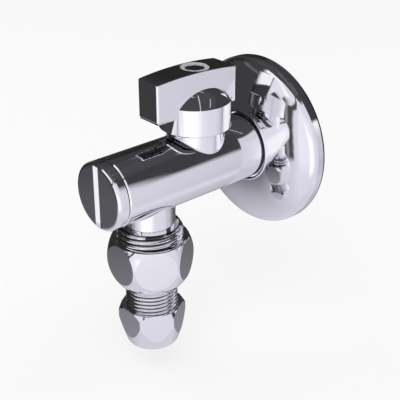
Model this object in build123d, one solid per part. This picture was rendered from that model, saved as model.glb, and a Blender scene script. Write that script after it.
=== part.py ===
from build123d import *
import math
import os

# An angle valve with a quarter-turn ball, a strainer and a compression outlet, in millimetres.
# The origin is on the inlet axis at the wall plane, +Y runs into the wall and +Z is up.
# A reach is a distance out from the wall, along -Y. A drop is a distance down from the inlet axis.

# Clearances
running = 0.04  # radial play of what turns or screws in its bore
fit = 0.06  # radial play of what is fitted once
slip = 0.3  # free gap beside what moves past
joint_gap = 0.2  # open line between the body and the front plug

# Ball and the bores round it, each step larger towards the room
ball_d = 14.4
ball_bore_d = 8.0
chamber_gap = 0.4
retainer_step = 0.5
strainer_step = 0.2
cap_thread_step = 0.4
cap_seal_step = 0.2
body_wall = 1.85

# Body along its axis
stem_reach = 30.1
outlet_pitch = 18.85
front_length = 14.95
inlet_thread_d = 20.955  # G 1/2
inlet_thread_out = 3.0
inlet_thread_in = 14.0
inlet_bore_d = 10.0
thread_chamfer = 0.8
edge_chamfer = 0.35
crotch_fillet = 0.7

# Seats and their retainer
seat_lip = 4.6  # ball centre to the face of a seat
seat_backing = 0.6  # seat behind the top of the ball
seat_bore_margin = 0.3
retainer_length = 3.2
retainer_free = 0.3
spigot_length = 1.2
drive_slot = 2.0

# Stem and its boss
stem_d = 8.0
flange_d = 10.4
flange_lift = 0.4
flange_t = 1.8
washer_t = 0.8
gland_length = 5.4
boss_d = 17.8
ring_section = 1.3  # thickness of the round sealing rings
ring_room = 0.2  # groove wider than its ring
tang_length = 8.0
tang_t = 3.0
tang_depth = 1.8  # into the ball
stem_square = 5.5
stem_rise = 8.4

# Stops between the boss and the lever's hub
quarter_turn = 90.0
stop_span = 45.0
stop_slack = 1.0
stop_height = 1.2
stop_inner_d = 11.4
stop_width = 2.8

# Lever
boss_cover = 2.85
hub_gap = 0.4
hub_wall = 2.05
hub_height = 8.7
dome_rise = 5.0
bar_front = 18.35
bar_back = 12.5
bar_front_width = 9.1
bar_back_width = 10.4
bar_sink = 2.75  # bar bottom below the rim of the dome
bar_front_drop = 0.75  # ends of the arched top below its middle
bar_back_drop = 1.3
bar_top_edge = 0.3
bar_foot_edge = 0.6
bar_corner = 0.8
bar_blend = 2.0  # fillet where the bar meets the dome

# Screw and cover of the lever
screw_d = 4.0
screw_length = 9.5
screw_head_d = 7.0
screw_head_t = 2.6
screw_web = 1.8
recess_width = 1.1
recess_span = 4.2
recess_depth = 1.5
cover_t = 2.6
cover_rim = 0.4
cover_ring_width = 1.5
cover_ring_height = 0.45

# Front plug and strainer
cap_head = 3.95
cap_edge = 1.3
cap_thread_length = 6.0
cap_seal_length = 2.4
plug_length = 5.2
slot_width = 3.0
slot_depth = 0.8
slot_rim = 0.9  # from the slot's ends to the edge of the plug
socket_depth = 1.6
strainer_annulus = 2.1
screen_t = 0.35
cage_wall = 1.0
cage_ring = 1.8
rib_count = 4
rib_width = 1.6
slot_columns = 10
slot_rows = 4
screen_slot = 1.0
screen_bridge = 1.2

# Outlet
neck_d = 16.2
neck_show = 4.15
outlet_thread_d = 20.955  # G 1/2
outlet_thread_length = 11.1
outlet_thread_show = 4.6
outlet_bore_d = 9.0
gasket_t = 1.5

# Adapter
adapter_af = 24.3
adapter_crown = 1.65  # barrel surface beyond the flats
adapter_shoulder = 6.5  # top face to the middle of the barrel
adapter_height = 16.5
tail_thread_d = 16.662  # G 3/8
tail_length = 12.0
tail_show = 8.0
tube_d = 10.0
tube_play = 0.1
tube_socket = 8.0
waterway_d = 8.0
mouth_chamfer = 1.3

# Compression nut and olive
nut_af = 19.0
nut_height = 14.0
nut_thread_depth = 8.5
nut_top_d = 19.6
nut_shoulder = 1.6
nut_belt = 2.6
nut_bulge = 0.15  # of the taper, from its straight line
nut_foot_d = 16.2
nut_foot_edge = 2.0
olive_wall = 0.4
olive_crown = 1.5
olive_length = 4.2
olive_belt = 1.2

# Wall rosette
rosette_d = 56.6
rosette_reach = 10.0  # at the hole
rosette_rim = 5.2  # where the dome's line meets the rim's
rosette_bulge = 0.9  # of the dome, from its straight line
rosette_sheet = 0.8
rosette_rim_bend = 2.6
rosette_curl = 1.4  # bend that turns the rim in at the wall
rosette_curl_land = 0.6  # flat beyond that bend
rosette_gap = 0.45  # round the body
rosette_bead = 0.9  # thickness of the rolled edge of the hole

# Bores and body, from the ball outwards
ball_r = ball_d / 2
chamber_r = ball_r + chamber_gap
retainer_r = chamber_r + retainer_step
strainer_bore_r = retainer_r + strainer_step
cap_thread_r = strainer_bore_r + cap_thread_step
cap_seal_r = cap_thread_r + cap_seal_step
body_r = cap_seal_r + body_wall

# Reaches
outlet_reach = stem_reach + outlet_pitch
body_reach = outlet_reach + front_length
seat_back = ball_r + seat_backing
retainer_reach = stem_reach + seat_back
strainer_reach = retainer_reach + retainer_length
plug_reach = body_reach - plug_length
strainer_end = plug_reach + socket_depth - slip
strainer_r = strainer_bore_r - strainer_annulus
cage_r = strainer_r - screen_t
spigot_r = cage_r - cage_wall - fit

# Heights on the stem axis
flange_bottom = ball_r + flange_lift
flange_top = flange_bottom + flange_t
gland_bottom = flange_top + washer_t
boss_top = gland_bottom + gland_length
stem_top = boss_top + stem_rise
hub_bottom = boss_top - boss_cover
hub_top = hub_bottom + hub_height
hub_ceiling = boss_top + stop_height + hub_gap
cavity_r = boss_d / 2 + hub_gap
hub_r = cavity_r + hub_wall
socket_top = stem_top + joint_gap
screw_seat = socket_top + screw_web
cover_seat = screw_seat + screw_head_t + slip
bar_top = cover_seat + cover_t
bar_bottom = hub_top - bar_sink
bar_slope = (bar_front_width - bar_back_width) / (bar_front + bar_back)
cover_r = (bar_back_width + bar_slope * bar_back) / 2 - cover_rim

# Drops on the outlet axis
neck_drop = body_r + neck_show
outlet_drop = neck_drop + outlet_thread_length
adapter_drop = neck_drop + outlet_thread_show
seat_drop = outlet_drop + gasket_t
tail_drop = adapter_drop + adapter_height
tail_end = tail_drop + tail_length
nut_drop = tail_drop + tail_show
nut_end = nut_drop + nut_height
tube_r = tube_d / 2 + tube_play
tail_r = tail_thread_d / 2
nut_thread_r = tail_r + running

# Sealing rings lie just inside their bores
stem_bore_r = stem_d / 2 + running
stem_ring_r = stem_bore_r - running / 2 - ring_section / 2
cap_ring_r = cap_seal_r - running / 2 - ring_section / 2
ring_groove = ring_section + ring_room
gland_land = (gland_length - 2 * ring_groove) / 3
stem_ring_heights = [gland_bottom + gland_land * (turn + 1) + ring_groove * (turn + 0.5) for turn in range(2)]
cap_ring_reach = body_reach - cap_seal_length / 2


def turned_y(outline):
    """Solid of revolution about the inlet axis, from (radius, reach) points."""
    points = [(radius, -reach) for radius, reach in outline]
    return revolve(make_face(Polyline(*points, close=True)), Axis.Y)


def turned_z(outline, reach):
    """Solid of revolution about an upright axis, from (radius, height) points."""
    points = [(radius, 0, height) for radius, height in outline]
    return Pos(0, -reach, 0) * revolve(make_face(Polyline(*points, close=True)), Axis.Z)


def column(radius, low, high, reach):
    """Upright cylinder between two heights."""
    return turned_z([(0, low), (radius, low), (radius, high), (0, high)], reach)


def bar_y(radius, near, far):
    """Cylinder on the inlet axis between two reaches."""
    return turned_y([(0, near), (radius, near), (radius, far), (0, far)])


def block(width, length, low, high, reach):
    """Box centred on an upright axis, width along X and length along Y."""
    middle = Pos(0, -reach, (low + high) / 2)
    return middle * Box(width, length, high - low)


def hexagon(across_flats, low, high, reach):
    """Hexagonal prism with two flats facing along Y."""
    outline = RegularPolygon(across_flats / 2, 6, major_radius=False)
    return Pos(0, -reach, low) * extrude(outline, amount=high - low)


def stop_lugs(low, high, span, start):
    """Two opposite lugs on the stem axis, each a sector of a ring."""
    inner = stop_inner_d / 2
    outer = inner + stop_width
    points = [(inner, 0, low), (outer, 0, low), (outer, 0, high), (inner, 0, high)]
    lug = revolve(make_face(Polyline(*points, close=True)), Axis.Z, revolution_arc=span)
    return [Pos(0, -stem_reach, 0) * Rot(0, 0, start + 180 * side) * lug for side in range(2)]


def circles_at(part, axis, place):
    """Round edges of a part at one place along an axis."""
    rings = part.edges().filter_by(GeomType.CIRCLE)
    return rings.filter_by_position(axis, place - 0.01, place + 0.01)


def valve_body():
    thread_r = inlet_thread_d / 2
    outer = bar_y(body_r, inlet_thread_out, body_reach)
    outer += column(boss_d / 2, 0, boss_top, stem_reach)
    outer += column(neck_d / 2, -neck_drop, 0, outlet_reach)
    curved = [edge for edge in outer.edges() if edge.geom_type not in (GeomType.LINE, GeomType.CIRCLE)]
    outer = fillet(curved, crotch_fillet)
    outer = chamfer(circles_at(outer, Axis.Y, -body_reach), edge_chamfer)
    outer = chamfer(circles_at(outer, Axis.Z, boss_top), edge_chamfer)

    inlet = turned_y([
        (0, inlet_thread_out),
        (thread_r, inlet_thread_out),
        (thread_r, thread_chamfer - inlet_thread_in),
        (thread_r - thread_chamfer, -inlet_thread_in),
        (0, -inlet_thread_in),
    ])
    thread_r = outlet_thread_d / 2
    outlet = turned_z([
        (0, -neck_drop),
        (thread_r - thread_chamfer, -neck_drop),
        (thread_r, -neck_drop - thread_chamfer),
        (thread_r, thread_chamfer - outlet_drop),
        (thread_r - thread_chamfer, -outlet_drop),
        (0, -outlet_drop),
    ], outlet_reach)
    body = outer + inlet + outlet
    body += stop_lugs(boss_top, boss_top + stop_height, stop_span, 0)

    body -= bar_y(inlet_bore_d / 2, -inlet_thread_in, stem_reach)
    body -= turned_y([
        (0, stem_reach - seat_back),
        (chamber_r, stem_reach - seat_back),
        (chamber_r, retainer_reach - retainer_free),
        (retainer_r, retainer_reach - retainer_free),
        (retainer_r, strainer_reach),
        (strainer_bore_r, strainer_reach),
        (strainer_bore_r, body_reach - cap_thread_length),
        (cap_thread_r, body_reach - cap_thread_length),
        (cap_thread_r, body_reach - cap_seal_length),
        (cap_seal_r, body_reach - cap_seal_length),
        (cap_seal_r, body_reach),
        (0, body_reach),
    ])
    body -= column(outlet_bore_d / 2, -outlet_drop, 0, outlet_reach)
    body -= column(flange_d / 2 + slip, 0, gland_bottom, stem_reach)
    body -= column(stem_bore_r, gland_bottom, boss_top, stem_reach)
    return body


def seat_ring(side):
    """Seat on the wall side (-1) or the room side (+1) of the ball."""
    lip = stem_reach + side * seat_lip
    back = stem_reach + side * seat_back
    bore = ball_bore_d / 2 + seat_bore_margin
    ring = turned_y([(bore, lip), (chamber_r - fit, lip), (chamber_r - fit, back), (bore, back)])
    return ring - Pos(0, -stem_reach, 0) * Sphere(ball_r + running)


def inner_seat():
    return seat_ring(-1)


def outer_seat():
    return seat_ring(1)


def seat_retainer():
    bore = ball_bore_d / 2 + seat_bore_margin
    ring = turned_y([
        (bore, retainer_reach),
        (retainer_r - fit, retainer_reach),
        (retainer_r - fit, strainer_reach),
        (spigot_r, strainer_reach),
        (spigot_r, strainer_reach + spigot_length),
        (bore, strainer_reach + spigot_length),
    ])
    depth = spigot_length + retainer_length / 2
    middle = strainer_reach + spigot_length - depth / 2
    return ring - Pos(0, -middle, 0) * Box(drive_slot, depth, 2 * retainer_r)


def ball():
    drilled = Pos(0, -stem_reach, 0) * Sphere(ball_r)
    drilled -= bar_y(ball_bore_d / 2, stem_reach - ball_r, stem_reach + ball_r)
    slot = tang_t + 2 * fit
    return drilled - block(ball_d, slot, ball_r - tang_depth - fit, ball_r, stem_reach)


def stem():
    stem_r = stem_d / 2
    flange_r = flange_d / 2
    groove_r = stem_ring_r - ring_section / 2 - running / 2
    outline = [(0, flange_bottom), (flange_r, flange_bottom), (flange_r, flange_top), (stem_r, flange_top)]
    for height in stem_ring_heights:
        outline.append((stem_r, height - ring_groove / 2))
        outline.append((groove_r, height - ring_groove / 2))
        outline.append((groove_r, height + ring_groove / 2))
        outline.append((stem_r, height + ring_groove / 2))
    outline += [(stem_r, boss_top), (0, boss_top)]
    turned = turned_z(outline, stem_reach)
    turned += block(tang_length, tang_t, ball_r - tang_depth, flange_bottom, stem_reach)
    turned += block(stem_square, stem_square, boss_top, stem_top, stem_reach)
    hole_bottom = screw_seat - screw_length - slip
    return turned - column(screw_d / 2 + running, hole_bottom, stem_top, stem_reach)


def stem_washer():
    inner = stem_bore_r + running
    outer = flange_d / 2 + slip - fit
    return turned_z(
        [(inner, flange_top), (outer, flange_top), (outer, gland_bottom), (inner, gland_bottom)], stem_reach)


def stem_ring(height):
    return Pos(0, -stem_reach, height) * Torus(stem_ring_r, ring_section / 2)


def lower_stem_ring():
    return stem_ring(stem_ring_heights[0])


def upper_stem_ring():
    return stem_ring(stem_ring_heights[1])


def lever_hub():
    """Round hub with a spherical top."""
    apex = hub_top + dome_rise
    dome_r = (hub_r ** 2 + dome_rise ** 2) / (2 * dome_rise)
    halfway = apex - dome_r + math.sqrt(dome_r ** 2 - (hub_r / 2) ** 2)
    sides = Polyline((0, 0, apex), (0, 0, hub_bottom), (hub_r, 0, hub_bottom), (hub_r, 0, hub_top))
    dome = ThreePointArc((hub_r, 0, hub_top), (hub_r / 2, 0, halfway), (0, 0, apex))
    hub = Pos(0, -stem_reach, 0) * revolve(make_face(sides + dome), Axis.Z)
    return chamfer(circles_at(hub, Axis.Z, hub_bottom), edge_chamfer)


def lever_bar():
    """Bar tapered in plan, with an arched top."""
    front = -stem_reach - bar_front
    back = -stem_reach + bar_back
    half_front = bar_front_width / 2
    half_back = bar_back_width / 2
    corners = [(-half_front, front), (half_front, front), (half_back, back), (-half_back, back)]
    plan = make_face(Polyline(*corners, close=True))
    tapered = Pos(0, 0, bar_bottom) * extrude(plan, amount=bar_top + bar_back_drop - bar_bottom)
    front_top = (0, front, bar_top - bar_front_drop)
    back_top = (0, back, bar_top - bar_back_drop)
    sides = Polyline(front_top, (0, front, bar_bottom), (0, back, bar_bottom), back_top)
    arch = ThreePointArc(back_top, (0, (front + back) / 2, bar_top), front_top)
    width = bar_back_width + bar_front_width
    arched = extrude(make_face(sides + arch), amount=width, dir=(1, 0, 0), both=True)
    bar = tapered & arched
    bar = fillet(bar.edges().filter_by(Axis.Z), bar_corner)
    bar = fillet(bar.faces().sort_by(Axis.Z)[-1].edges(), bar_top_edge)
    return fillet(bar.faces().sort_by(Axis.Z)[0].edges(), bar_foot_edge)


def handle():
    hub = lever_hub()
    bar = lever_bar()
    lever = hub + bar
    blends = [edge for edge in new_edges(hub, bar, combined=lever) if edge.center().Z > hub_top]
    lever = fillet(blends, bar_blend)
    lever -= column(cavity_r, hub_bottom, hub_ceiling, stem_reach)
    lug_span = 180 - quarter_turn - stop_span - 2 * stop_slack
    lug_start = 180 - stop_slack - lug_span
    lever += stop_lugs(boss_top + hub_gap, hub_ceiling, lug_span, lug_start)
    square = stem_square + 2 * fit
    lever -= block(square, square, hub_ceiling, socket_top, stem_reach)
    lever -= column(screw_d / 2 + fit, socket_top, screw_seat, stem_reach)
    lever -= column(screw_head_d / 2 + slip, screw_seat, cover_seat, stem_reach)
    return lever - column(cover_r + fit, cover_seat, bar_top + slip, stem_reach)


def handle_screw():
    head_top = screw_seat + screw_head_t
    screw = turned_z([
        (0, screw_seat - screw_length),
        (screw_d / 2 - thread_chamfer, screw_seat - screw_length),
        (screw_d / 2, screw_seat - screw_length + thread_chamfer),
        (screw_d / 2, screw_seat),
        (screw_head_d / 2, screw_seat),
        (screw_head_d / 2, head_top - thread_chamfer),
        (screw_head_d / 2 - thread_chamfer, head_top),
        (0, head_top),
    ], stem_reach)
    for width, length in ((recess_width, recess_span), (recess_span, recess_width)):
        screw -= block(width, length, head_top - recess_depth, head_top, stem_reach)
    return screw


def handle_cover():
    """Plain disc inside a half-round ring."""
    field = bar_top - cover_ring_height
    inner = cover_r - cover_ring_width
    top = Polyline((inner, 0, field), (0, 0, field), (0, 0, cover_seat))
    side = Polyline((0, 0, cover_seat), (cover_r, 0, cover_seat), (cover_r, 0, field))
    ring = ThreePointArc((cover_r, 0, field), (cover_r - cover_ring_width / 2, 0, bar_top), (inner, 0, field))
    return Pos(0, -stem_reach, 0) * revolve(make_face(top + side + ring), Axis.Z)


def filter_cap():
    head_back = body_reach + joint_gap
    face = head_back + cap_head
    groove_r = cap_ring_r - ring_section / 2 - running / 2
    cap = turned_y([
        (0, plug_reach),
        (cap_thread_r - running, plug_reach),
        (cap_thread_r - running, body_reach - cap_seal_length - joint_gap),
        (groove_r, body_reach - cap_seal_length - joint_gap),
        (groove_r, cap_ring_reach - ring_groove / 2),
        (groove_r, cap_ring_reach + ring_groove / 2),
        (cap_seal_r - running, cap_ring_reach + ring_groove / 2),
        (cap_seal_r - running, head_back),
        (body_r, head_back),
        (body_r, face),
        (0, face),
    ])
    cap = fillet(circles_at(cap, Axis.Y, -face), cap_edge)
    rear = circles_at(cap, Axis.Y, -head_back).sort_by(SortBy.RADIUS)[-1]
    cap = chamfer(rear, edge_chamfer)
    slot_length = 2 * (body_r - slot_rim)
    cap -= Pos(0, slot_depth / 2 - face, 0) * Box(slot_width, slot_depth, slot_length)
    return cap - bar_y(strainer_r + slip, plug_reach, plug_reach + socket_depth)


def cap_ring():
    return Pos(0, -cap_ring_reach, 0) * Rot(90, 0, 0) * Torus(cap_ring_r, ring_section / 2)


def strainer_frame():
    bore = cage_r - cage_wall
    cage = turned_y([
        (bore, strainer_reach),
        (strainer_r, strainer_reach),
        (strainer_r, strainer_reach + cage_ring),
        (cage_r, strainer_reach + cage_ring),
        (cage_r, strainer_end - cage_ring),
        (strainer_r, strainer_end - cage_ring),
        (strainer_r, strainer_end),
        (0, strainer_end),
        (0, strainer_end - cage_wall),
        (bore, strainer_end - cage_wall),
    ])
    open_length = strainer_end - strainer_reach - 2 * cage_ring
    middle = (strainer_end + strainer_reach) / 2
    windows = bar_y(cage_r, strainer_reach + cage_ring, strainer_end - cage_ring)
    for rib in range(rib_count // 2):
        turn = Rot(0, 360 / rib_count * rib, 0)
        windows -= Pos(0, -middle, 0) * turn * Box(rib_width, open_length, 2 * cage_r)
    return cage - windows


def strainer_screen():
    near = strainer_reach + cage_ring
    far = strainer_end - cage_ring
    inner = cage_r + fit / 2
    sleeve = turned_y([(inner, near), (strainer_r, near), (strainer_r, far), (inner, far)])
    row_pitch = (far - near - screen_bridge) / slot_rows
    slot_length = row_pitch - screen_bridge
    outward = (Align.CENTER, Align.CENTER, Align.MIN)
    slots = []
    for row in range(slot_rows):
        middle = near + screen_bridge + row_pitch * row + slot_length / 2
        for column_turn in range(slot_columns):
            turn = Rot(0, 360 / slot_columns * column_turn, 0)
            opening = Box(screen_slot, slot_length, strainer_r, align=outward)
            slots.append(Pos(0, -middle, 0) * turn * Pos(0, 0, inner / 2) * opening)
    return sleeve - slots


def outlet_gasket():
    outer = outlet_thread_d / 2 - fit
    inner = outlet_bore_d / 2
    return turned_z([
        (inner, -seat_drop),
        (outer, -seat_drop),
        (outer, -outlet_drop),
        (inner, -outlet_drop),
    ], outlet_reach)


def outlet_adapter():
    barrel_r = adapter_af / 2 + adapter_crown
    middle = Pos(0, -outlet_reach, -adapter_drop - adapter_shoulder)
    adapter = hexagon(adapter_af, -tail_drop, -adapter_drop, outlet_reach) & middle * Sphere(barrel_r)
    adapter += turned_z([
        (0, -tail_drop),
        (tail_r, -tail_drop),
        (tail_r, thread_chamfer - tail_end),
        (tail_r - thread_chamfer, -tail_end),
        (0, -tail_end),
    ], outlet_reach)
    socket_drop = tail_end - tube_socket
    return adapter - turned_z([
        (0, -adapter_drop),
        (outlet_thread_d / 2 + fit, -adapter_drop),
        (outlet_thread_d / 2 + fit, -seat_drop),
        (waterway_d / 2, -seat_drop),
        (waterway_d / 2, -socket_drop),
        (tube_r, -socket_drop),
        (tube_r, mouth_chamfer - tail_end),
        (tube_r + mouth_chamfer, -tail_end),
        (0, -tail_end),
    ], outlet_reach)


def compression_nut():
    belt_r = nut_af / math.sqrt(3)
    foot_r = nut_foot_d / 2
    belt_drop = nut_drop + nut_shoulder + nut_belt
    top = Polyline(
        (foot_r, 0, -nut_end), (0, 0, -nut_end), (0, 0, -nut_drop), (nut_top_d / 2, 0, -nut_drop),
        (belt_r, 0, -nut_drop - nut_shoulder), (belt_r, 0, -belt_drop))
    halfway = ((belt_r + foot_r) / 2 + nut_bulge, 0, -(belt_drop + nut_end) / 2)
    taper = ThreePointArc((belt_r, 0, -belt_drop), halfway, (foot_r, 0, -nut_end))
    envelope = Pos(0, -outlet_reach, 0) * revolve(make_face(top + taper), Axis.Z)
    envelope = fillet(circles_at(envelope, Axis.Z, -nut_end), nut_foot_edge)
    nut = hexagon(nut_af, -nut_end, -nut_drop, outlet_reach) & envelope
    cone_drop = nut_drop + nut_thread_depth
    hole_r = tube_r + tube_play
    return nut - turned_z([
        (0, -nut_drop),
        (nut_thread_r, -nut_drop),
        (nut_thread_r, -cone_drop),
        (hole_r, -cone_drop - (nut_thread_r - hole_r)),
        (hole_r, -nut_end),
        (0, -nut_end),
    ], outlet_reach)


def olive():
    # The lower lip rests in the nut's 45 degree cone
    lip_r = tube_r + olive_wall
    low = -nut_drop - nut_thread_depth - (nut_thread_r - lip_r) + slip
    high = low + olive_length
    middle = (low + high) / 2
    crown_r = tube_r + olive_crown
    return turned_z([
        (tube_r, low),
        (lip_r, low),
        (crown_r, middle - olive_belt / 2),
        (crown_r, middle + olive_belt / 2),
        (lip_r, high),
        (tube_r, high),
    ], outlet_reach)


def escutcheon():
    """Domed sheet with a rolled hole and a rim that turns in at the wall."""
    hole_r = body_r + rosette_gap
    rim_r = rosette_d / 2
    curl_r = rim_r - rosette_curl - rosette_curl_land

    def dome(outer_r, crest, rim):
        """Arc of the dome from the hole to the line of the rim."""
        across = outer_r - hole_r
        rise = crest - rim
        lean = rosette_bulge / math.hypot(across, rise)
        middle = ((hole_r + outer_r) / 2 + lean * rise, -(crest + rim) / 2 - lean * across)
        return ThreePointArc((hole_r, -crest), middle, (outer_r, -rim))

    inner_r = rim_r - rosette_sheet
    inner_rim = rosette_rim - rosette_sheet / 2
    inner_crest = rosette_reach - rosette_sheet
    edges = dome(rim_r, rosette_reach, rosette_rim) + dome(inner_r, inner_crest, inner_rim)
    edges += Polyline((rim_r, -rosette_rim), (rim_r, 0), (curl_r, 0))
    edges += Polyline((curl_r, 0), (curl_r, -rosette_sheet), (inner_r, -rosette_sheet), (inner_r, -inner_rim))
    edges += Line((hole_r, -inner_crest), (hole_r, -rosette_reach))
    section = make_face(edges)
    bends = [
        ((rim_r, -rosette_rim), rosette_rim_bend),
        ((rim_r, 0), rosette_curl),
        ((inner_r, -inner_rim), rosette_rim_bend - rosette_sheet),
        ((inner_r, -rosette_sheet), rosette_curl - rosette_sheet),
    ]
    for corner, radius in bends:
        section = fillet(section.vertices().sort_by_distance(corner)[0], radius)
    section += Pos(hole_r + 0.45 * rosette_bead, -rosette_reach) * Circle(rosette_bead / 2)
    return revolve(section, Axis.Y)


pieces = [
    valve_body, inner_seat, outer_seat, seat_retainer, ball, stem, stem_washer,
    lower_stem_ring, upper_stem_ring, handle, handle_screw, handle_cover, filter_cap, cap_ring,
    strainer_frame, strainer_screen, outlet_gasket, outlet_adapter, compression_nut, olive, escutcheon,
]

os.makedirs("parts", exist_ok=True)
for piece in pieces:
    export_step(piece(), f"parts/{piece.__name__}.step")
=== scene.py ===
import math

import bmesh
import bpy
from mathutils import Matrix, Vector


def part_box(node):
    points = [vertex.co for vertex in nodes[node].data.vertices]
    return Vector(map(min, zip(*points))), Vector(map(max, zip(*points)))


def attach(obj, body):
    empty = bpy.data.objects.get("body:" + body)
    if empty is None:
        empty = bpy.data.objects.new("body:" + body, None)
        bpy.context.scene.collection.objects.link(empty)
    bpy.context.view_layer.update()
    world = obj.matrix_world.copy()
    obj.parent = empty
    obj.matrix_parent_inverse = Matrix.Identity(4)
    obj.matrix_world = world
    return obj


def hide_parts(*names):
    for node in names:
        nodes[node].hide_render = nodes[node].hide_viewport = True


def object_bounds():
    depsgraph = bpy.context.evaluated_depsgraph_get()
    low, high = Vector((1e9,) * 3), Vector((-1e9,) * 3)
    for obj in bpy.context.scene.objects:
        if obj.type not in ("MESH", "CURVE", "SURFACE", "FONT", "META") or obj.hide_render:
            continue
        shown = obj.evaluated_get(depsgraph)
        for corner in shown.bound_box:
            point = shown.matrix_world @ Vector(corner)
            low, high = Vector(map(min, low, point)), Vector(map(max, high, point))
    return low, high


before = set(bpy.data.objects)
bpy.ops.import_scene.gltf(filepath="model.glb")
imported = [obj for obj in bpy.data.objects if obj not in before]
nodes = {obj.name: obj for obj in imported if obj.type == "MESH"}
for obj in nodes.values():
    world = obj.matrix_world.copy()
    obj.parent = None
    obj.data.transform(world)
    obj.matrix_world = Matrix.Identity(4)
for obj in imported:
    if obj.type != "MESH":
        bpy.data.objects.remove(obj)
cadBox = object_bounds()
mm = 0.001
scene = bpy.context.scene
scene.view_settings.view_transform = "Standard"
print("frame loaded,", len(nodes), "nodes")

cameraSet = {
    "place": (0.2041, -0.2080, 0.12435),
    "azimuth": 48.6,  # degrees, 0 looks along +Y
    "elevation": 27.0,
    "roll": -0.135,
    "lens": 84.816,
    "sensor": 36.0,
    "clipStart": 0.01,
}


def placeCamera(settings):
    data = bpy.data.cameras.new("photoCamera")
    data.sensor_width = settings["sensor"]
    data.lens = settings["lens"]
    data.clip_start = settings["clipStart"]
    a = math.radians(settings["azimuth"])
    e = math.radians(settings["elevation"])
    back = Vector((math.sin(a) * math.cos(e), -math.cos(a) * math.cos(e), math.sin(e)))
    right = Vector((0, 0, 1)).cross(back).normalized()
    turn = Matrix((right, back.cross(right), back)).transposed().to_4x4()
    roll = Matrix.Rotation(math.radians(settings["roll"]), 4, "Z")
    camera = bpy.data.objects.new("photoCamera", data)
    camera.matrix_world = Matrix.Translation(settings["place"]) @ turn @ roll
    scene.collection.objects.link(camera)
    scene.camera = camera


placeCamera(cameraSet)
print("camera placed")


def link(tree, source, target):
    tree.links.new(source, target)


def mathNode(tree, operation, first, second=None):
    # a Math node whose inputs are sockets or numbers
    node = tree.nodes.new("ShaderNodeMath")
    node.operation = operation
    for socket, value in zip(node.inputs, (first, second)):
        if isinstance(value, (int, float)):
            socket.default_value = value
        elif value is not None:
            link(tree, value, socket)
    return node.outputs[0]


def spread(tree, value, low, high, start=0.3, end=0.7):
    # maps a 0 to 1 pattern onto a range
    node = tree.nodes.new("ShaderNodeMapRange")
    node.inputs["From Min"].default_value = start
    node.inputs["From Max"].default_value = end
    node.inputs["To Min"].default_value = low
    node.inputs["To Max"].default_value = high
    link(tree, value, node.inputs["Value"])
    return node.outputs["Result"]


def clearedTree(owner, outputKind):
    # an empty shader tree and the socket that its look goes to
    owner.use_nodes = True
    tree = owner.node_tree
    tree.nodes.clear()
    return tree, tree.nodes.new(outputKind).inputs["Surface"]


def plainShader(tree, kind, tone):
    node = tree.nodes.new(kind)
    node.inputs["Color"].default_value = (*tone, 1)
    return node


def mixedShader(tree, share, first, second):
    mix = tree.nodes.new("ShaderNodeMixShader")
    link(tree, share, mix.inputs[0])
    link(tree, first.outputs[0], mix.inputs[1])
    link(tree, second.outputs[0], mix.inputs[2])
    return mix.outputs[0]


# Stage: a pale floor, soft lamps, and the cards and flags that polished metal mirrors
stageSet = {
    "floorDrop": 9.0 * mm,  # under the lowest point of the valve
    "floorSize": 6.0,
    "floorTone": (0.92, 0.92, 0.925),
    "floorGlow": 0.8,  # share of the floor's look that no shadow reaches
    "worldTone": (0.92, 0.92, 0.925),
    "worldLight": 0.55,
    "cardRadius": 1.2,
    "cardStep": 3.0,  # degrees between a card's points
    "layerStep": 0.03,  # share of the radius between two layers
}

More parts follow.
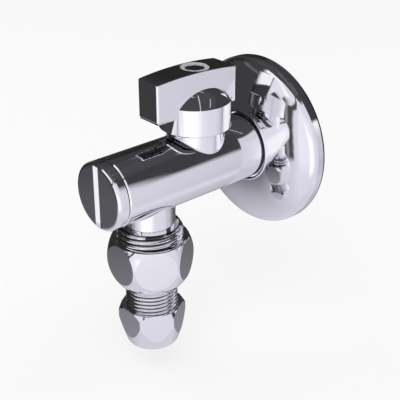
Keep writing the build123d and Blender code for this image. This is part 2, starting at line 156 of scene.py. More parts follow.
# Azimuth runs from +Y towards +X. A card of a higher layer hides a lower one.
# The fades are the degrees over which an edge melts away: start, end, foot and head. A lean is in degrees of
# azimuth for each degree of height.
studioCards = {
    "roomCard": {"azimuth": (-180, 180), "elevation": (-90, 90), "tone": (0.775, 0.762, 0.845), "layer": -1},
    "floorCard": {"azimuth": (-180, 180), "elevation": (-90, -44), "tone": (0.69, 0.68, 0.755), "layer": 0,
                  "fades": (0, 0, 0, 14)},
    "frontPanel": {"azimuth": (84, 180), "elevation": (-32, 34), "tone": (0.905, 0.895, 0.975), "layer": 0,
                   "fades": (36, 0, 10, 12)},
    "lowWallCard": {"azimuth": (-12, 66), "elevation": (-44, 18), "tone": (0.575, 0.565, 0.63), "layer": 1,
                    "fades": (0, 26, 14, 0)},
    "frontGlow": {"azimuth": (108, 172), "elevation": (-36, 12), "tone": (1.12, 1.12, 1.11), "layer": 1,
                  "fades": (18, 8, 8, 10)},
    "lowSideFlag": {"azimuth": (-178, 34), "elevation": (-62, -20), "tone": (0.104, 0.102, 0.112), "layer": 2,
                    "fades": (36, 30, 34, 0)},
    "farSideFlag": {"azimuth": (-173, 46), "elevation": (-26, 16), "tone": (0.048, 0.047, 0.050), "layer": 3,
                    "fades": (5, 30, 5, 0)},
    "wallSideFlag": {"azimuth": (-150, 60), "elevation": (8, 70), "tone": (0.050, 0.049, 0.056), "layer": 4,
                     "fades": (4, 5, 10, 0)},
    "ceilingFlag": {"azimuth": (-180, 180), "elevation": (48, 90), "tone": (0.068, 0.066, 0.074), "layer": 5,
                    "fades": (0, 0, 5, 0)},
    "frontCard": {"azimuth": (185, 212), "elevation": (11, 46), "tone": (1.00, 1.00, 0.99), "layer": 6,
                  "fades": (4, 3, 3, 4)},
    "highFlag": {"azimuth": (182, 216), "elevation": (45, 64), "tone": (0.068, 0.066, 0.074), "layer": 6,
                 "fades": (5, 5, 3, 0)},
    "deepFlag": {"azimuth": (-124, -76), "elevation": (-26, 44), "tone": (0.024, 0.024, 0.022), "layer": 6,
                 "fades": (12, 12, 12, 12)},
    "lowDeepFlag": {"azimuth": (-66, -36), "elevation": (-6, 34), "tone": (0.021, 0.021, 0.019), "layer": 6,
                    "fades": (8, 6, 8, 8)},
    "farGreyCard": {"azimuth": (-94, -66), "elevation": (-10, 16), "tone": (0.21, 0.21, 0.20), "layer": 7,
                    "fades": (7, 7, 7, 7)},
    "farGlow": {"azimuth": (-72, -46), "elevation": (-42, -8), "tone": (0.46, 0.46, 0.45), "layer": 7,
                "fades": (6, 6, 10, 8)},
    "wallSpot": {"azimuth": (-37, -12), "elevation": (8, 28), "tone": (1.12, 1.12, 1.10), "layer": 7,
                 "fades": (3, 3, 3, 3)},
    "edgeSpot": {"azimuth": (29, 49), "elevation": (3, 21), "tone": (1.00, 1.00, 0.99), "layer": 7,
                 "fades": (6, 4, 8, 3)},
    "lowFrame": {"azimuth": (183, 190), "elevation": (-24, 9), "tone": (0.065, 0.067, 0.062), "layer": 7,
                 "fades": (2, 2, 3, 0)},
    "highFrame": {"azimuth": (182, 189), "elevation": (7, 58), "tone": (0.065, 0.067, 0.062), "layer": 7,
                  "fades": (2, 2, 0, 4), "lean": -0.95},
}
ceilingBars = {
    "nearBar": {"start": (0.12, 0.42), "end": (0.42, 0.24)},  # metres from the valve, seen from above
    "farBar": {"start": (-0.12, 0.175), "end": (0.42, -0.14)},
}
barSet = {"height": 0.8, "width": 0.024, "tone": (0.7, 0.7, 0.69)}


def paleWorld(settings):
    world = bpy.data.worlds.new("paleStudio")
    scene.world = world
    tree, surface = clearedTree(world, "ShaderNodeOutputWorld")
    seen = plainShader(tree, "ShaderNodeBackground", settings["worldTone"])
    soft = plainShader(tree, "ShaderNodeBackground", (1, 1, 1))
    soft.inputs["Strength"].default_value = settings["worldLight"]
    rays = tree.nodes.new("ShaderNodeLightPath")
    shown = mathNode(tree, "MAXIMUM", rays.outputs["Is Camera Ray"], rays.outputs["Is Glossy Ray"])
    shown = mathNode(tree, "MAXIMUM", shown, rays.outputs["Is Transmission Ray"])
    link(tree, mixedShader(tree, shown, soft, seen), surface)


def paleFloor(settings):
    half = settings["floorSize"] / 2
    level = cadBox[0].z - settings["floorDrop"]
    corners = [(-half, -half, level), (half, -half, level), (half, half, level), (-half, half, level)]
    mesh = bpy.data.meshes.new("paleFloor")
    mesh.from_pydata(corners, [], [(0, 1, 2, 3)])
    material = bpy.data.materials.new("paleFloor")
    tree, surface = clearedTree(material, "ShaderNodeOutputMaterial")
    matt = plainShader(tree, "ShaderNodeBsdfDiffuse", settings["floorTone"])
    glow = plainShader(tree, "ShaderNodeEmission", settings["floorTone"])
    rays = tree.nodes.new("ShaderNodeLightPath")
    share = mathNode(tree, "MULTIPLY", rays.outputs["Is Camera Ray"], settings["floorGlow"])
    link(tree, mixedShader(tree, share, matt, glow), surface)
    mesh.materials.append(material)
    floor = bpy.data.objects.new("paleFloor", mesh)
    floor.visible_glossy = False  # metal mirrors the cards instead
    scene.collection.objects.link(floor)


def glowFinish(mesh, tone):
    material = bpy.data.materials.new(mesh.name)
    tree, surface = clearedTree(material, "ShaderNodeOutputMaterial")
    glow = plainShader(tree, "ShaderNodeEmission", tone)
    link(tree, glow.outputs[0], surface)
    mesh.materials.append(material)
    return tree, glow, surface


def mirroredOnly(name, mesh):
    piece = bpy.data.objects.new(name, mesh)
    for ray in ("camera", "diffuse", "transmission", "shadow", "volume_scatter"):
        setattr(piece, "visible_" + ray, False)
    scene.collection.objects.link(piece)


def cardMesh(name, card, settings):
    # patch of a sphere round the valve, with each point's share of the way across and up
    radius = settings["cardRadius"] * (1 - settings["layerStep"] * card["layer"])
    (left, right), (foot, head) = card["azimuth"], card["elevation"]
    across = max(2, round((right - left) / settings["cardStep"]))
    along = max(2, round((head - foot) / settings["cardStep"]))
    points = []
    places = []
    for i in range(across + 1):
        for j in range(along + 1):
            rise = (head - foot) * j / along
            a = math.radians(left + (right - left) * i / across + card.get("lean", 0) * rise)
            e = math.radians(foot + rise)
            reach = radius * math.cos(e)
            points.append((reach * math.sin(a), reach * math.cos(a), radius * math.sin(e)))
            places.append((i / across, j / along))
    faces = []
    for i in range(across):
        for j in range(along):
            first = i * (along + 1) + j
            faces.append((first, first + 1, first + along + 2, first + along + 1))
    mesh = bpy.data.meshes.new(name)
    mesh.from_pydata(points, [], faces)
    layout = mesh.uv_layers.new(name="cardPlace")
    for corner in mesh.loops:
        layout.data[corner.index].uv = places[corner.vertex_index]
    return mesh


def cardShare(tree, card):
    # 1 inside the card, falling to 0 over each edge's fade
    spot = tree.nodes.new("ShaderNodeSeparateXYZ")
    link(tree, tree.nodes.new("ShaderNodeTexCoord").outputs["UV"], spot.inputs[0])
    wide = card["azimuth"][1] - card["azimuth"][0]
    tall = card["elevation"][1] - card["elevation"][0]
    edges = (("X", wide, 0, 1), ("X", wide, 1, -1), ("Y", tall, 0, 1), ("Y", tall, 1, -1))
    share = 1
    for (axis, size, start, way), fade in zip(edges, card["fades"]):
        if fade:
            edge = spread(tree, spot.outputs[axis], 0, 1, start, start + way * fade / size)
            share = mathNode(tree, "MULTIPLY", edge, share)
    return share


def studioCard(name, card, settings):
    # seen only in reflections, and clear where its edges fade
    mesh = cardMesh(name, card, settings)
    tree, glow, surface = glowFinish(mesh, card["tone"])
    if "fades" in card:
        clear = tree.nodes.new("ShaderNodeBsdfTransparent")
        link(tree, mixedShader(tree, cardShare(tree, card), clear, glow), surface)
    mirroredOnly(name, mesh)


def ceilingBar(name, bar, settings):
    start = Vector((*bar["start"], settings["height"]))
    end = Vector((*bar["end"], settings["height"]))
    side = (end - start).cross(Vector((0, 0, 1))).normalized() * settings["width"] / 2
    mesh = bpy.data.meshes.new(name)
    mesh.from_pydata([start - side, end - side, end + side, start + side], [], [(0, 1, 2, 3)])
    glowFinish(mesh, settings["tone"])
    mirroredOnly(name, mesh)


softLamps = {
    "keyLamp": {"place": (0.35, -0.45, 0.75), "size": 0.7, "power": 5.0},
    "fillLamp": {"place": (-0.6, -0.35, 0.5), "size": 0.8, "power": 3.0},
    "backLamp": {"place": (0.2, 0.7, 0.6), "size": 0.6, "power": 2.5},
}


def softLamp(name, settings):
    data = bpy.data.lights.new(name, "AREA")
    data.size = settings["size"]
    data.energy = settings["power"]
    lamp = bpy.data.objects.new(name, data)
    place = Vector(settings["place"])
    aim = (cadBox[0] + cadBox[1]) / 2
    lamp.location = place
    lamp.rotation_euler = (aim - place).to_track_quat("-Z", "Y").to_euler()
    lamp.visible_glossy = False
    scene.collection.objects.link(lamp)


paleWorld(stageSet)
paleFloor(stageSet)
for cardName, cardSet in studioCards.items():
    studioCard(cardName, cardSet, stageSet)
for barName, barEnds in ceilingBars.items():
    ceilingBar(barName, barEnds, barSet)
for lampName, lampSet in softLamps.items():
    softLamp(lampName, lampSet)
print("stage set,", len(studioCards), "cards")


def newFinish(name):
    material = bpy.data.materials.new(name)
    tree, surface = clearedTree(material, "ShaderNodeOutputMaterial")
    shader = tree.nodes.new("ShaderNodeBsdfPrincipled")
    link(tree, shader.outputs["BSDF"], surface)
    coordinates = tree.nodes.new("ShaderNodeTexCoord")
    return material, tree, shader, coordinates.outputs["Object"]


def stretched(tree, vector, place=(0, 0, 0), turn=(0, 0, 0), scale=(1, 1, 1)):
    # moves a pattern onto a piece: place is the point that becomes its centre
    mapping = tree.nodes.new("ShaderNodeMapping")
    mapping.vector_type = "TEXTURE"
    mapping.inputs["Location"].default_value = place
    mapping.inputs["Rotation"].default_value = turn
    mapping.inputs["Scale"].default_value = scale
    link(tree, vector, mapping.inputs["Vector"])
    return mapping.outputs["Vector"]


def noise(tree, vector, scale, detail=3.0, roughness=0.55):
    node = tree.nodes.new("ShaderNodeTexNoise")
    node.inputs["Scale"].default_value = scale
    node.inputs["Detail"].default_value = detail
    node.inputs["Roughness"].default_value = roughness
    link(tree, vector, node.inputs["Vector"])
    return node.outputs["Fac"]


def tinted(tree, value, first, second, start=0.3, end=0.7):
    ramp = tree.nodes.new("ShaderNodeValToRGB")
    ramp.color_ramp.elements[0].position = start
    ramp.color_ramp.elements[0].color = (*first, 1)
    ramp.color_ramp.elements[1].position = end
    ramp.color_ramp.elements[1].color = (*second, 1)
    link(tree, value, ramp.inputs["Fac"])
    return ramp.outputs["Color"]


def bumped(tree, shader, height, strength, distance):
    node = tree.nodes.new("ShaderNodeBump")
    node.inputs["Strength"].default_value = strength
    node.inputs["Distance"].default_value = distance
    link(tree, height, node.inputs["Height"])
    link(tree, node.outputs["Normal"], shader.inputs["Normal"])


chromeSet = {
    "tints": ((0.885, 0.876, 0.908), (0.905, 0.896, 0.928)),
    "roughness": (0.035, 0.075),
    "hazeScale": 160.0,  # soft patches of handling haze, about 6 mm
    "markScale": 2600.0,  # fine polishing marks
    "markStretch": (6, 1, 1),
    "markDepth": 0.002 * mm,
    "markStrength": 0.12,
    # painted shade in a thread's roots: its dark tint, and the shares of the depth over which it fades out
    "rootShadeTint": (0.025, 0.024, 0.028),
    "rootShadeHeights": (0.1, 0.56),  # shares of a thread's depth
    "endFace": (0.25, 0.08),  # under its roots, where the painted shade stops again
}
paintedShadeSet = {
    **chromeSet,
    "tints": ((0.085, 0.083, 0.088), (0.13, 0.127, 0.134)),  # painted shade: dark tints on a rougher plate, for the lever's underside and the rosette's hole and turned-in rim
    "roughness": (0.3, 0.42),
}
brassSet = {
    "tints": ((0.62, 0.44, 0.19), (0.78, 0.60, 0.31)),
    "roughness": (0.2, 0.36),
    "ringWidth": 0.28 * mm,  # feed marks left by turning
    "ringDepth": 0.008 * mm,
    "ringStrength": 0.3,
    "ringWander": 0.4,
    "wanderScale": 1.5,
    "wavePeriod": 0.314,  # of a wave texture with a scale of 1
    "patchScale": 220.0,
}


def chromePlate(name, settings, thread=None, centre=(0, 0, 0), upright=True):
    # painted shade: a thread's roots are tinted dark where shade falls in them
    material, tree, shader, place = newFinish(name)
    haze = noise(tree, place, settings["hazeScale"], detail=4.0)
    strokes = stretched(tree, place, scale=settings["markStretch"])
    marks = noise(tree, strokes, settings["markScale"], detail=2.0)
    tint = tinted(tree, haze, *settings["tints"])
    if thread:
        axes = tree.nodes.new("ShaderNodeVectorMath")
        axes.operation = "MULTIPLY"
        axes.inputs[1].default_value = (1, 1, 0) if upright else (1, 0, 1)
        link(tree, stretched(tree, place, place=centre), axes.inputs[0])
        reach = tree.nodes.new("ShaderNodeVectorMath")
        reach.operation = "LENGTH"
        link(tree, axes.outputs["Vector"], reach.inputs[0])
        root = thread["Major Radius"] - thread["Depth"]
        rootShadeBand = [root + thread["Depth"] * share for share in settings["rootShadeHeights"]]
        endFace = [root - thread["Depth"] * share for share in settings["endFace"]]
        crest = spread(tree, reach.outputs["Value"], 0, 1, *rootShadeBand)
        end = spread(tree, reach.outputs["Value"], 1, 0, *endFace)
        unshaded = mathNode(tree, "MAXIMUM", crest, end)
        mix = tree.nodes.new("ShaderNodeMix")
        mix.data_type = "RGBA"
        mix.inputs["A"].default_value = (*settings["rootShadeTint"], 1)
        link(tree, unshaded, mix.inputs["Factor"])
        link(tree, tint, mix.inputs["B"])
        tint = mix.outputs["Result"]
    shader.inputs["Metallic"].default_value = 1.0
    link(tree, tint, shader.inputs["Base Color"])
    link(tree, spread(tree, haze, *settings["roughness"]), shader.inputs["Roughness"])
    bumped(tree, shader, marks, settings["markStrength"], settings["markDepth"])
    return material


def turnedBrass(name, settings, centre, upright):
    # rings round the piece's own axis, which is upright or along Y
    material, tree, shader, place = newFinish(name)
    turn = (0, 0, 0) if upright else (math.pi / 2, 0, 0)
    own = stretched(tree, place, place=centre, turn=turn)
    wave = tree.nodes.new("ShaderNodeTexWave")
    wave.wave_type = "BANDS"
    wave.bands_direction = "Z"
    wave.inputs["Scale"].default_value = settings["wavePeriod"] / settings["ringWidth"]
    wave.inputs["Distortion"].default_value = settings["ringWander"]
    wave.inputs["Detail Scale"].default_value = settings["wanderScale"]
    link(tree, own, wave.inputs["Vector"])
    patches = noise(tree, place, settings["patchScale"], detail=4.0)
    shader.inputs["Metallic"].default_value = 1.0
    link(tree, tinted(tree, patches, *settings["tints"]), shader.inputs["Base Color"])
    link(tree, spread(tree, patches, *settings["roughness"]), shader.inputs["Roughness"])
    bumped(tree, shader, wave.outputs["Fac"], settings["ringStrength"], settings["ringDepth"])
    return material


softSet = {
    "seat": {"tints": ((0.80, 0.79, 0.76), (0.90, 0.895, 0.875)), "roughness": (0.35, 0.5),
             "scale": 420.0, "grain": 3500.0, "depth": 0.01 * mm},
    "rubber": {"tints": ((0.012, 0.012, 0.013), (0.028, 0.028, 0.03)), "roughness": (0.45, 0.7),
               "scale": 700.0, "grain": 5200.0, "depth": 0.012 * mm},
    "fibre": {"tints": ((0.17, 0.05, 0.033), (0.33, 0.12, 0.075)), "roughness": (0.7, 0.9),
              "scale": 1600.0, "grain": 4200.0, "depth": 0.03 * mm},
    "ring": {"tints": ((0.30, 0.298, 0.31), (0.42, 0.417, 0.43)), "roughness": (0.3, 0.42),
             "scale": 900.0, "grain": 5600.0, "depth": 0.006 * mm},
    # painted highlight: a pale matt edge that stands for the bright border under the bar
    "edge": {"tints": ((0.80, 0.797, 0.81), (0.90, 0.897, 0.91)), "roughness": (0.3, 0.4),
             "scale": 900.0, "grain": 5600.0, "depth": 0.006 * mm},
    "cage": {"tints": ((0.15, 0.155, 0.16), (0.19, 0.195, 0.2)), "roughness": (0.4, 0.55),
             "scale": 500.0, "grain": 6000.0, "depth": 0.008 * mm},
}
grainStrength = 0.35


def softFinish(name, settings):
    # plastics, rubber, fibre and matt metal: clouded colour and a fine grain
    material, tree, shader, place = newFinish(name)
    clouds = noise(tree, place, settings["scale"], detail=4.0)
    grain = noise(tree, place, settings["grain"], detail=2.0)
    link(tree, tinted(tree, clouds, *settings["tints"]), shader.inputs["Base Color"])
    link(tree, spread(tree, clouds, *settings["roughness"]), shader.inputs["Roughness"])
    bumped(tree, shader, grain, grainStrength, settings["depth"])
    return material


steelSet = {
    "tints": ((0.50, 0.50, 0.51), (0.62, 0.62, 0.63)),
    "roughness": (0.2, 0.34),
    "brushScale": 1500.0,
    "brushStretch": (1, 14, 1),
    "depth": 0.006 * mm,
    "strength": 0.3,
}


def brushedSteel(name, settings):
    material, tree, shader, place = newFinish(name)
    strokes = noise(tree, stretched(tree, place, scale=settings["brushStretch"]), settings["brushScale"])
    shader.inputs["Metallic"].default_value = 1.0
    link(tree, tinted(tree, strokes, *settings["tints"]), shader.inputs["Base Color"])
    link(tree, spread(tree, strokes, *settings["roughness"]), shader.inputs["Roughness"])
    bumped(tree, shader, strokes, settings["strength"], settings["depth"])
    return material


def uprightAxis(name):
    # where the upright axis through a node's middle crosses the barrel's axis
    low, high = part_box(name)
    return Vector((0, (low.y + high.y) / 2, 0))


outletAxis = uprightAxis("outlet_adapter")
stemAxis = uprightAxis("stem")
threadFineness = {"Rows": 12, "Steps": 96}
halfInchThread = {"Major Radius": 10.4775 * mm, "Depth": 1.162 * mm, "Pitch": 1.814 * mm, **threadFineness}
tailThread = {"Major Radius": 8.331 * mm, "Depth": 0.856 * mm, "Pitch": 1.337 * mm, **threadFineness}

chrome = chromePlate("chromePlate", chromeSet)
# painted shade for the lever's underside and the rosette's hole and turned-in rim
paintedShadeCast = chromePlate("paintedShadeCast", paintedShadeSet)
inletChrome = chromePlate("inletChrome", chromeSet, halfInchThread, (0, 0, 0), False)
outletChrome = chromePlate("outletChrome", chromeSet, halfInchThread, tuple(outletAxis))
tailChrome = chromePlate("tailChrome", chromeSet, tailThread, tuple(outletAxis))
boreBrass = turnedBrass("boreBrass", brassSet, (0, 0, 0), False)
outletBrass = turnedBrass("outletBrass", brassSet, tuple(outletAxis), True)
stemBrass = turnedBrass("stemBrass", brassSet, tuple(stemAxis), True)
seatWhite = softFinish("seatWhite", softSet["seat"])
sealRubber = softFinish("sealRubber", softSet["rubber"])
gasketFibre = softFinish("gasketFibre", softSet["fibre"])
cageGrey = softFinish("cageGrey", softSet["cage"])
mattRing = softFinish("mattRing", softSet["ring"])
# painted highlight for the rim under the bar
paleHighlightEdge = softFinish("paleHighlightEdge", softSet["edge"])
steel = brushedSteel("brushedSteel", steelSet)

nodeFinishes = {
    chrome: ["filter_cap", "compression_nut", "ball"],
    boreBrass: ["seat_retainer"],
    stemBrass: ["stem"],
    outletBrass: ["olive"],
    seatWhite: ["inner_seat", "outer_seat", "stem_washer"],
    sealRubber: ["lower_stem_ring", "upper_stem_ring", "cap_ring"],
    gasketFibre: ["outlet_gasket"],
    steel: ["handle_screw", "strainer_screen"],
    cageGrey: ["strainer_frame"],
}
for finish, names in nodeFinishes.items():
    for name in names:
        nodes[name].material_slots[0].material = finish
print("finishes made")

# Threads: a rounded profile that follows a helix, with a 45 degree chamfer and a closing ring at each end
threadSet = {
    "weld": 0.002 * mm,  # points nearer than this become one
    "sharpAngle": 40,  # degrees
}
threadSizes = [
    ("Major Radius", "NodeSocketFloat"),
    ("Depth", "NodeSocketFloat"),
    ("Pitch", "NodeSocketFloat"),
    ("Low", "NodeSocketFloat"),
    ("High", "NodeSocketFloat"),
    ("Chamfer", "NodeSocketFloat"),
    ("Low Ring", "NodeSocketFloat"),
    ("High Ring", "NodeSocketFloat"),
    ("Rows", "NodeSocketInt"),  # points across one pitch
    ("Steps", "NodeSocketInt"),  # points round one turn
    ("Place", "NodeSocketVector"),
    ("Turn", "NodeSocketVector"),
    ("Finish", "NodeSocketMaterial"),
]


def threadTree():
    tree = bpy.data.node_groups.new("helicalThread", "GeometryNodeTree")
    for name, kind in threadSizes:
        tree.interface.new_socket(name, in_out="INPUT", socket_type=kind)
    tree.interface.new_socket("Geometry", in_out="OUTPUT", socket_type="NodeSocketGeometry")
    size = tree.nodes.new("NodeGroupInput").outputs
    result = tree.nodes.new("NodeGroupOutput")

    def calc(operation, first, second=None):
        return mathNode(tree, operation, first, second)

    span = calc("SUBTRACT", size["High"], size["Low"])
    step = calc("DIVIDE", size["Pitch"], size["Rows"])
    rows = calc("ADD", calc("CEIL", calc("DIVIDE", span, step)), size["Rows"])
    grid = tree.nodes.new("GeometryNodeMeshGrid")
    grid.inputs["Size X"].default_value = 1.0
    grid.inputs["Size Y"].default_value = 1.0
    link(tree, calc("ADD", size["Steps"], 1), grid.inputs["Vertices X"])
    link(tree, calc("ADD", rows, 3), grid.inputs["Vertices Y"])

    spot = tree.nodes.new("ShaderNodeSeparateXYZ")
    link(tree, tree.nodes.new("GeometryNodeInputPosition").outputs[0], spot.inputs[0])
    turns = calc("ADD", spot.outputs["X"], 0.5)
    row = calc("SUBTRACT", calc("MULTIPLY", calc("ADD", spot.outputs["Y"], 0.5), calc("ADD", rows, 2)), 1)
    climb = calc("MULTIPLY", size["Pitch"], calc("SUBTRACT", turns, 1))
    raw = calc("ADD", size["Low"], calc("ADD", calc("MULTIPLY", row, step), climb))
    height = calc("MINIMUM", calc("MAXIMUM", raw, size["Low"]), size["High"])
    above = calc("SUBTRACT", height, size["Low"])
    below = calc("SUBTRACT", size["High"], height)

    phase = calc("MULTIPLY", calc("SUBTRACT", calc("DIVIDE", above, size["Pitch"]), turns), math.tau)
    dip = calc("MULTIPLY", calc("SUBTRACT", 1, calc("COSINE", phase)), calc("MULTIPLY", size["Depth"], 0.5))
    flank = calc("SUBTRACT", size["Major Radius"], dip)
    cone = calc("ADD", calc("SUBTRACT", size["Major Radius"], size["Chamfer"]), calc("MINIMUM", above, below))
    radius = calc("MINIMUM", flank, cone)
    first = calc("LESS_THAN", row, -0.5)
    last = calc("GREATER_THAN", row, calc("ADD", rows, 0.5))
    inside = calc("SUBTRACT", 1, calc("ADD", first, last))
    radius = calc("ADD", calc("MULTIPLY", radius, inside), calc("MULTIPLY", size["Low Ring"], first))
    radius = calc("ADD", radius, calc("MULTIPLY", size["High Ring"], last))

    angle = calc("MULTIPLY", turns, math.tau)
    moved = tree.nodes.new("ShaderNodeCombineXYZ")
    link(tree, calc("MULTIPLY", radius, calc("COSINE", angle)), moved.inputs["X"])
    link(tree, calc("MULTIPLY", radius, calc("SINE", angle)), moved.inputs["Y"])
    link(tree, height, moved.inputs["Z"])
    wound = tree.nodes.new("GeometryNodeSetPosition")
    link(tree, grid.outputs["Mesh"], wound.inputs["Geometry"])
    link(tree, moved.outputs[0], wound.inputs["Position"])
    merged = tree.nodes.new("GeometryNodeMergeByDistance")
    merged.inputs["Distance"].default_value = threadSet["weld"]
    link(tree, wound.outputs[0], merged.inputs["Geometry"])
    placed = tree.nodes.new("GeometryNodeTransform")
    link(tree, merged.outputs[0], placed.inputs["Geometry"])
    link(tree, size["Place"], placed.inputs["Translation"])
    link(tree, size["Turn"], placed.inputs["Rotation"])
    smooth = tree.nodes.new("GeometryNodeSetShadeSmooth")
    link(tree, placed.outputs[0], smooth.inputs["Geometry"])
    real = tree.nodes.new("GeometryNodeRealizeInstances")
    link(tree, smooth.outputs[0], real.inputs[0])
    finished = tree.nodes.new("GeometryNodeSetMaterial")
    link(tree, real.outputs[0], finished.inputs["Geometry"])
    link(tree, size["Finish"], finished.inputs["Material"])
    link(tree, finished.outputs[0], result.inputs[0])
    return tree


helicalThread = threadTree()


def threadMesh(settings):
    # runs the tree once and hands back a plain mesh
    carrier = bpy.data.objects.new("threadCarrier", bpy.data.meshes.new("threadCarrier"))
    scene.collection.objects.link(carrier)
    modifier = carrier.modifiers.new("thread", "NODES")
    modifier.node_group = helicalThread
    for item in helicalThread.interface.items_tree:
        if item.in_out == "INPUT":
            modifier[item.identifier] = settings[item.name]
    bpy.context.view_layer.update()
    made = bpy.data.meshes.new_from_object(carrier.evaluated_get(bpy.context.evaluated_depsgraph_get()))
    bpy.data.objects.remove(carrier)
    made.set_sharp_from_angle(angle=math.radians(threadSet["sharpAngle"]))
    return made


def readFaces(mesh):
    # points, triangles and their corner normals
    mesh.calc_loop_triangles()
    points = [vertex.co.copy() for vertex in mesh.vertices]
    faces = [tuple(face.vertices) for face in mesh.loop_triangles]
    corners = [corner.vector.copy() for corner in mesh.corner_normals]
    normals = [[corners[index] for index in face.loops] for face in mesh.loop_triangles]
    return points, faces, normals


def threadShell(settings):
    points, faces, normals = readFaces(threadMesh(settings))
    return points, faces, normals, [settings["Finish"]] * len(faces)


weldStep = 0.0005 * mm  # points in the same cell of this size become one


def joinedPiece(name, shells):
    # shells are (points, faces, corner normals, finish of each face)
    materials = []
    points = []
    known = {}
    faces = []
    normals = []
    indices = []
    for shellPoints, shellFaces, shellNormals, finishes in shells:
        own = []
        for point in shellPoints:
            key = tuple(round(value / weldStep) for value in point)
            if key not in known:
                known[key] = len(points)
                points.append(point)
            own.append(known[key])
        for face, corners, finish in zip(shellFaces, shellNormals, finishes):
            turned = tuple(own[index] for index in face)
            if len(set(turned)) < 3:
                continue
            if finish not in materials:
                materials.append(finish)
            faces.append(turned)
            normals.extend(corners)
            indices.append(materials.index(finish))
    mesh = bpy.data.meshes.new(name)
    mesh.from_pydata(points, [], faces)
    for material in materials:
        mesh.materials.append(material)
    mesh.polygons.foreach_set("material_index", indices)
    mesh.polygons.foreach_set("use_smooth", [True] * len(faces))
    mesh.normals_split_custom_set(normals)
    piece = bpy.data.objects.new(name, mesh)
    scene.collection.objects.link(piece)
    return piece


def fromAxis(point, axis, along):
    # way from an axis along "Y" or "Z" to a point
    offset = point - axis
    offset["XYZ".index(along)] = 0
    return offset


def axisDistance(point, axis, along):
    return fromAxis(point, axis, along).length


def facesAxis(point, outward, axis, along):
    return outward.dot(fromAxis(point, axis, along)) < -0.001 * mm


bodySet = {
    "inletShoulder": -3.0 * mm,
    "inletEnd": 14.0 * mm,  # the inlet lies along Y, the outlet along Z
    "inletBore": 5.0 * mm,
    "bodyRadius": 10.75 * mm,
    "boreLimit": 9.5 * mm,  # the barrel is bare brass inside this
    "stemBoreTop": 15.5 * mm,
    "outletTop": -14.9 * mm,
    "outletEnd": -26.0 * mm,
    "outletBore": 4.5 * mm,
    "neckRadius": 8.1 * mm,  # above the outlet's thread
    "chamfer": 1.1 * mm,
    "slack": 0.05 * mm,  # when faces are told apart
}


def valveBody(settings):
    points, faces, normals = readFaces(nodes["valve_body"].data)
    slack = settings["slack"]
    keptFaces = []
    keptNormals = []
    finishes = []
    for face, corners in zip(faces, normals):
        spots = [points[index] for index in face]
        middle = sum(spots, Vector()) / 3
        outward = sum(corners, Vector())
        inletRadius = min(axisDistance(spot, Vector(), "Y") for spot in spots)
        outletRadius = min(axisDistance(spot, outletAxis, "Z") for spot in spots)
        onInlet = min(spot.y for spot in spots) > settings["inletShoulder"] - slack
        onOutlet = max(spot.z for spot in spots) < settings["outletTop"] + slack
        inletEndFace = onInlet and middle.y > settings["inletEnd"] - slack
        outletEndFace = onOutlet and middle.z < settings["outletEnd"] + slack
        if onInlet and (inletRadius > settings["inletBore"] + slack or inletEndFace):
            continue
        if onOutlet and (outletRadius > settings["outletBore"] + slack or outletEndFace):
            continue
        keptFaces.append(face)
        keptNormals.append(corners)
        inBore = axisDistance(middle, Vector(), "Y") < settings["boreLimit"]
        inBore = inBore and facesAxis(middle, outward, Vector(), "Y")
        inOutlet = outletRadius < settings["outletBore"] + slack
        inOutlet = inOutlet and facesAxis(middle, outward, outletAxis, "Z")
        inStem = 0 < middle.z < settings["stemBoreTop"]
        inStem = inStem and facesAxis(middle, outward, stemAxis, "Z")
        finishes.append(boreBrass if inBore or inOutlet or inStem else chrome)
    inlet = {
        **halfInchThread,
        "Low": settings["inletShoulder"],
        "High": settings["inletEnd"],
        "Chamfer": settings["chamfer"],
        "Low Ring": settings["bodyRadius"],
        "High Ring": settings["inletBore"],
        "Place": (0, 0, 0),
        "Turn": (-math.pi / 2, 0, 0),
        "Finish": inletChrome,
    }
    outlet = {
        **halfInchThread,
        "Low": settings["outletEnd"],
        "High": settings["outletTop"],
        "Chamfer": settings["chamfer"],
        "Low Ring": settings["outletBore"],
        "High Ring": settings["neckRadius"],
        "Place": tuple(outletAxis),
        "Turn": (0, 0, 0),
        "Finish": outletChrome,
    }
    forging = (points, keptFaces, keptNormals, finishes)
    piece = joinedPiece("valveBodyShell", [forging, threadShell(inlet), threadShell(outlet)])
    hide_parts("valve_body")
    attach(piece, "valve_body")


adapterSet = {
    "tailTop": -36.0 * mm,
    "tailEnd": -48.0 * mm,
    "shoulder": 9.51 * mm,  # round face under the hexagon
    "mouth": 6.4 * mm,
    "seat": -27.5 * mm,  # of the gasket, with bare brass below it
    "chamfer": 0.8 * mm,
    "slack": 0.05 * mm,
}


def outletAdapter(settings):
    points, faces, normals = readFaces(nodes["outlet_adapter"].data)
    slack = settings["slack"]
    keptFaces = []
    keptNormals = []
    finishes = []
    for face, corners in zip(faces, normals):
        spots = [points[index] for index in face]
        middle = sum(spots, Vector()) / 3
        nearest = min(axisDistance(spot, outletAxis, "Z") for spot in spots)
        onTail = max(spot.z for spot in spots) < settings["tailTop"] + slack
        endFace = onTail and min(spot.z for spot in spots) > settings["tailTop"] - slack
        lowFace = max(spot.z for spot in spots) < settings["tailEnd"] + slack
        if endFace or lowFace or (onTail and nearest > settings["mouth"] + slack):
            continue
        keptFaces.append(face)
        keptNormals.append(corners)
        inside = middle.z < settings["seat"] - slack
        inside = inside and facesAxis(middle, sum(corners, Vector()), outletAxis, "Z")
        finishes.append(outletBrass if inside else chrome)
    tail = {
        **tailThread,
        "Low": settings["tailEnd"],
        "High": settings["tailTop"],
        "Chamfer": settings["chamfer"],
        "Low Ring": settings["mouth"],
        "High Ring": settings["shoulder"],
        "Place": tuple(outletAxis),
        "Turn": (0, 0, 0),
        "Finish": tailChrome,
    }
    hexagon = (points, keptFaces, keptNormals, finishes)
    piece = joinedPiece("outletAdapterShell", [hexagon, threadShell(tail)])
    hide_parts("outlet_adapter")
    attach(piece, "valve_body")


valveBody(bodySet)
outletAdapter(adapterSet)
print("threads cut")


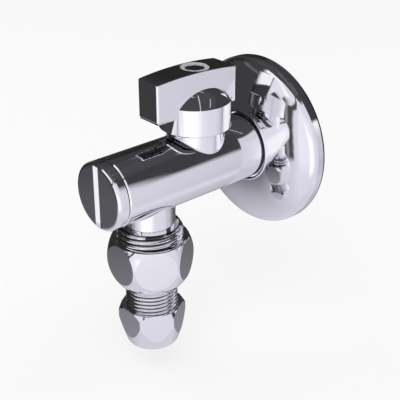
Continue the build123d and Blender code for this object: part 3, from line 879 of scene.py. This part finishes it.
def refinished(name, body, pick):
    # a copy of a node with a finish picked for each face from its middle and its outward way
    points, faces, normals = readFaces(nodes[name].data)
    finishes = []
    for face, corners in zip(faces, normals):
        middle = sum((points[index] for index in face), Vector()) / 3
        finishes.append(pick(middle, sum(corners, Vector()).normalized()))
    piece = joinedPiece(name + "Shell", [(points, faces, normals, finishes)])
    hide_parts(name)
    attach(piece, body)


rosetteSet = {
    "holeReach": 12.3 * mm,  # the rolled hole is painted dark inside up to here, a painted shade in the gap round the barrel
    "rimReach": 27.2 * mm,  # the turned-in rim is painted dark beyond this, a painted shade under its curl
    "rimSlope": 0.08,  # where it turns towards the wall
}
leverSet = {
    "downward": -0.9,  # faces whose outward way dips more than this are left as cast and painted dark, a painted shade under the bar
    "ringHeight": 0.43 * mm,  # of the half-round ring on the cover, which is matt
}
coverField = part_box("handle_cover")[1].z - leverSet["ringHeight"]


# painted shade: the hole and the back of the rim get the dark finish
def rosetteFinish(middle, outward):
    reach = axisDistance(middle, Vector(), "Y")
    inHole = reach < rosetteSet["holeReach"] and facesAxis(middle, outward, Vector(), "Y")
    onRim = reach > rosetteSet["rimReach"] and outward.y > rosetteSet["rimSlope"]
    return paintedShadeCast if inHole or onRim else chrome


# painted shade: the bar's underside gets the dark finish
def leverFinish(middle, outward):
    return paintedShadeCast if outward.z < leverSet["downward"] else chrome


def coverFinish(middle, outward):
    return mattRing if middle.z > coverField else chrome


refinished("escutcheon", "rosette", rosetteFinish)
refinished("handle", "lever", leverFinish)
refinished("handle_cover", "lever", coverFinish)
print("rosette and lever finished")

rimSet = {
    "corners": [(-4.15, -48.1), (4.15, -48.1), (4.3, -41.4), (-4.3, -41.4)],  # in mm, seen from above
    "level": 18.7 * mm,  # of the bar's underside
    "height": 0.3 * mm,
    "sink": 0.2 * mm,  # into the bar, so that no gap shows
    "edge": 0.12 * mm,
    "edgeSteps": 2,
    "edgeAngle": 60,  # degrees, of the corners that are split
    "sharpAngle": 35,
}


def leverRim(settings):
    # pale rim under the bar, a painted highlight that stands for a bright chrome border, round the field that
    # is painted dark as shade: two skins back to back, without width
    level = settings["level"]
    foot = level - settings["height"]
    shape = bmesh.new()
    inside = shape.faces.new([shape.verts.new((x * mm, y * mm, foot)) for x, y in settings["corners"]])
    bmesh.ops.inset_region(shape, faces=[inside], thickness=0, use_boundary=True)
    bmesh.ops.delete(shape, geom=[inside], context="FACES_ONLY")
    raised = bmesh.ops.extrude_face_region(shape, geom=list(shape.faces), use_keep_orig=True)
    for item in raised["geom"]:
        if isinstance(item, bmesh.types.BMVert):
            item.co.z = level + settings["sink"]
    bmesh.ops.recalc_face_normals(shape, faces=shape.faces)
    low = [edge for edge in shape.edges if all(vertex.co.z < level for vertex in edge.verts)]
    steep = math.radians(settings["edgeAngle"])
    rims = [edge for edge in low if len(edge.link_faces) == 2 and edge.calc_face_angle() > steep]
    bmesh.ops.bevel(
        shape, geom=rims, offset=settings["edge"], segments=settings["edgeSteps"], profile=0.5, affect="EDGES"
    )
    bmesh.ops.triangulate(shape, faces=shape.faces)
    openEdges = sum(not edge.is_manifold for edge in shape.edges)
    mesh = bpy.data.meshes.new("leverRim")
    shape.to_mesh(mesh)
    shape.free()
    mesh.polygons.foreach_set("use_smooth", [True] * len(mesh.polygons))
    mesh.set_sharp_from_angle(angle=math.radians(settings["sharpAngle"]))
    mesh.materials.append(paleHighlightEdge)
    piece = bpy.data.objects.new("leverRim", mesh)
    scene.collection.objects.link(piece)
    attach(piece, "lever")
    print("lever rim made,", len(mesh.polygons), "faces,", openEdges, "open edges")


leverRim(rimSet)
